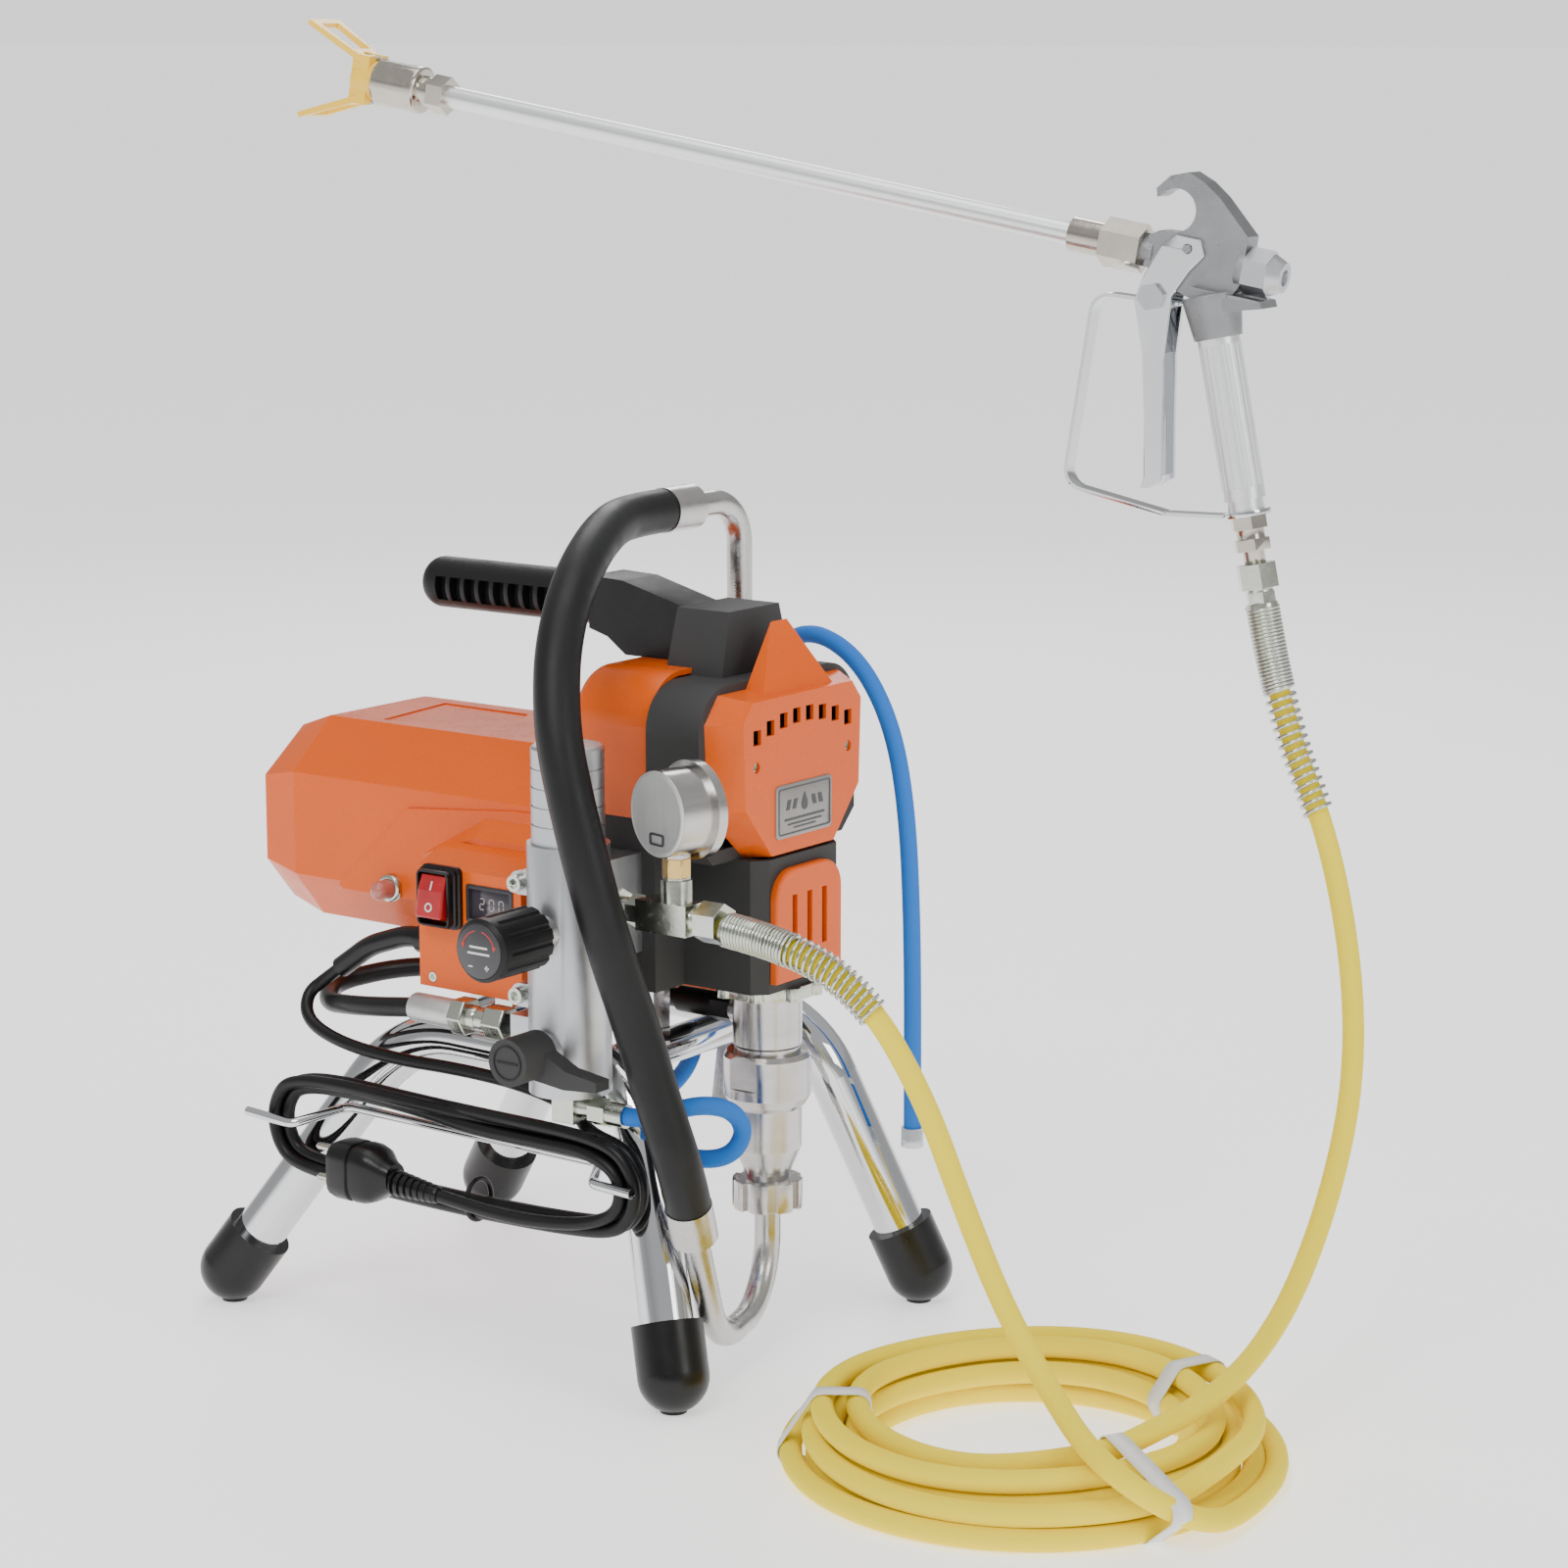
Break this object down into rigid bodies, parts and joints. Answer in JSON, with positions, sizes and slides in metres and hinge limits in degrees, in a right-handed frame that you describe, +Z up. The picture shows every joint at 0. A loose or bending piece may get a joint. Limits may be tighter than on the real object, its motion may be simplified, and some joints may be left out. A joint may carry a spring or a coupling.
{
  "type": "airless paint sprayer",
  "caption": "electric airless paint sprayer on a bent-tube stand, with a piston pump, filter manifold, gauge, coiled hose, gun and extension pole",
  "frame": {"origin": "middle of the footprint of everything but the loose cords, on the floor", "axes": "+Z up; the pump and drive end faces -Y and the motor runs towards +Y; the controls and filter are on the -X side"},
  "size_m": [0.4429, 0.8425, 0.7982],
  "materials": {
    "chrome_tube": "polished chromed tube",
    "orange": "glossy moulded plastic",
    "black_plastic": "fine-grained moulded plastic",
    "rubber_black": "satin rubber",
    "machined_steel": "turned and polished steel",
    "zinc": "zinc plated",
    "cast_alloy": "satin bead-blasted aluminium",
    "anodised": "clear anodised",
    "gear_iron": "oiled",
    "winding": "varnished laminations and windings",
    "blue_tube": "smooth flexible tube",
    "yellow_hose": "glossy flexible hose",
    "yellow_plastic": "moulded plastic",
    "red_switch": "translucent illuminated cap",
    "clear_red": "translucent cap",
    "filter_mesh": "woven mesh"
  },
  "bodies": {
    "machine": {"stand_tubes": "chrome_tube", "cross_rails": "chrome_tube", "rubber_feet": "rubber_black", "cord_hook": "chrome_tube", "fasteners": "zinc", "motor_cover": "orange", "motor_stator": "winding", "bearings": "machined_steel", "gear_housing": "orange", "drive_frame": "black_plastic", "front_cover": "orange", "lower_housing": "black_plastic", "lower_door": "orange", "carry_handle": "black_plastic", "pump_internals": "machined_steel", "clamp_ring": "zinc", "pump_cylinder": "machined_steel", "foot_valve_housing": "machined_steel", "inlet_nut": "machined_steel", "suction_u_tube": "machined_steel", "suction_hose": "rubber_black", "pickup_tube": "machined_steel", "inlet_strainer": "filter_mesh", "pressure_hose": "rubber_black", "manifold_body": "cast_alloy", "filter_cap": "cast_alloy", "filter_element": "filter_mesh", "drain_elbow": "zinc", "drain_tube": "blue_tube", "outlet_tee": "zinc", "gauge_case": "machined_steel", "hose_fittings": "zinc", "paint_hose": "yellow_hose", "paint_hose_coil": "yellow_hose", "control_box": "orange", "strain_relief": "rubber_black", "power_cord": "rubber_black", "cord_hank": "rubber_black", "power_plug": "rubber_black"},
    "rotor": {"motor_rotor": "gear_iron"},
    "idler": {"reduction_gear": "gear_iron"},
    "crank": {"crankshaft": "gear_iron"},
    "rod": {"connecting_rod": "gear_iron"},
    "piston": {"piston_rod": "machined_steel"},
    "knob": {"pressure_knob": "black_plastic"},
    "prime": {"prime_handle": "black_plastic"},
    "needle": {"gauge_needle": "black_plastic"},
    "rocker": {"power_rocker": "red_switch"},
    "reset": {"reset_button": "clear_red"},
    "gun": {"gun_body": "cast_alloy", "gun_rear_nut": "zinc", "trigger_guard": "chrome_tube", "gun_grip": "anodised", "gun_swivel": "zinc", "extension_pole": "anodised", "pole_fittings": "zinc"},
    "trigger": {"trigger": "chrome_tube"},
    "lock": {"trigger_lock": "cast_alloy"},
    "tip_guard": {"tip_guard": "yellow_plastic"},
    "tip": {"spray_tip": "machined_steel"}
  },
  "joints": [
    {"name": "motor_spin", "type": "hinge", "parent": "machine", "child": "rotor", "pos_m": [-0.0024, 0.0396, 0.303], "axis": [0, -1, 0], "continuous": true},
    {"name": "reduction_spin", "type": "hinge", "parent": "machine", "child": "idler", "pos_m": [0.03241, -0.0404, 0.31695], "axis": [0, -1, 0], "continuous": true},
    {"name": "crank_spin", "type": "hinge", "parent": "machine", "child": "crank", "pos_m": [-0.0024, -0.0704, 0.35], "axis": [0, -1, 0], "continuous": true},
    {"name": "rod_swing", "type": "hinge", "parent": "crank", "child": "rod", "pos_m": [-0.0024, -0.1104, 0.3375], "axis": [0, -1, 0], "continuous": true},
    {"name": "piston_stroke", "type": "slide", "parent": "machine", "child": "piston", "axis": [0, 0, 1], "range_m": [0, 0.025]},
    {"name": "pressure_turn", "type": "hinge", "parent": "machine", "child": "knob", "pos_m": [-0.1724, -0.0614, 0.28], "axis": [-1, 0, 0], "range_deg": [-270, 0]},
    {"name": "prime_turn", "type": "hinge", "parent": "machine", "child": "prime", "pos_m": [-0.1674, -0.0614, 0.21], "axis": [-1, 0, 0], "range_deg": [-90, 0]},
    {"name": "gauge_sweep", "type": "hinge", "parent": "machine", "child": "needle", "pos_m": [-0.12364, -0.14221, 0.357], "axis": [0.9659, -0.2588, 0], "range_deg": [-270, 0]},
    {"name": "power_tilt", "type": "hinge", "parent": "machine", "child": "rocker", "pos_m": [-0.1224, 0.0416, 0.283], "axis": [0, 1, 0], "range_deg": [-20, 0]},
    {"name": "reset_press", "type": "slide", "parent": "machine", "child": "reset", "axis": [1, 0, 0], "range_m": [0, 0.002], "stiffness_N_per_m": 400},
    {"name": "gun_swing", "type": "hinge", "parent": "machine", "child": "gun", "pos_m": [0.19307, -0.29949, 0.61085], "axis": [0.0272, -0.1939, -0.9806], "continuous": true},
    {"name": "trigger_pull", "type": "hinge", "parent": "gun", "child": "trigger", "pos_m": [0.19079, -0.28322, 0.66358], "axis": [-0.9903, -0.139, 0], "range_deg": [0, 11], "stiffness_Nm_per_rad": 0.6, "springref_deg": -17.19},
    {"name": "lock_turn", "type": "hinge", "parent": "trigger", "child": "lock", "pos_m": [0.17485, -0.26324, 0.63485], "axis": [-0.9903, -0.139, 0], "range_deg": [0, 90]},
    {"name": "guard_turn", "type": "hinge", "parent": "gun", "child": "tip_guard", "pos_m": [0.10948, 0.29611, 0.75906], "axis": [-0.1369, 0.9754, 0.1729], "continuous": true},
    {"name": "tip_reverse", "type": "hinge", "parent": "tip_guard", "child": "tip", "pos_m": [0.10934, 0.29708, 0.75924], "axis": [0.024, -0.1712, 0.9849], "range_deg": [0, 180]}
  ],
  "couplings": [
    {"joint": "reduction_spin", "follows": "motor_spin", "ratio": -0.25},
    {"joint": "crank_spin", "follows": "motor_spin", "ratio": 0.07},
    {"joint": "rod_swing", "follows": "motor_spin", "ratio": -0.07}
  ]
}
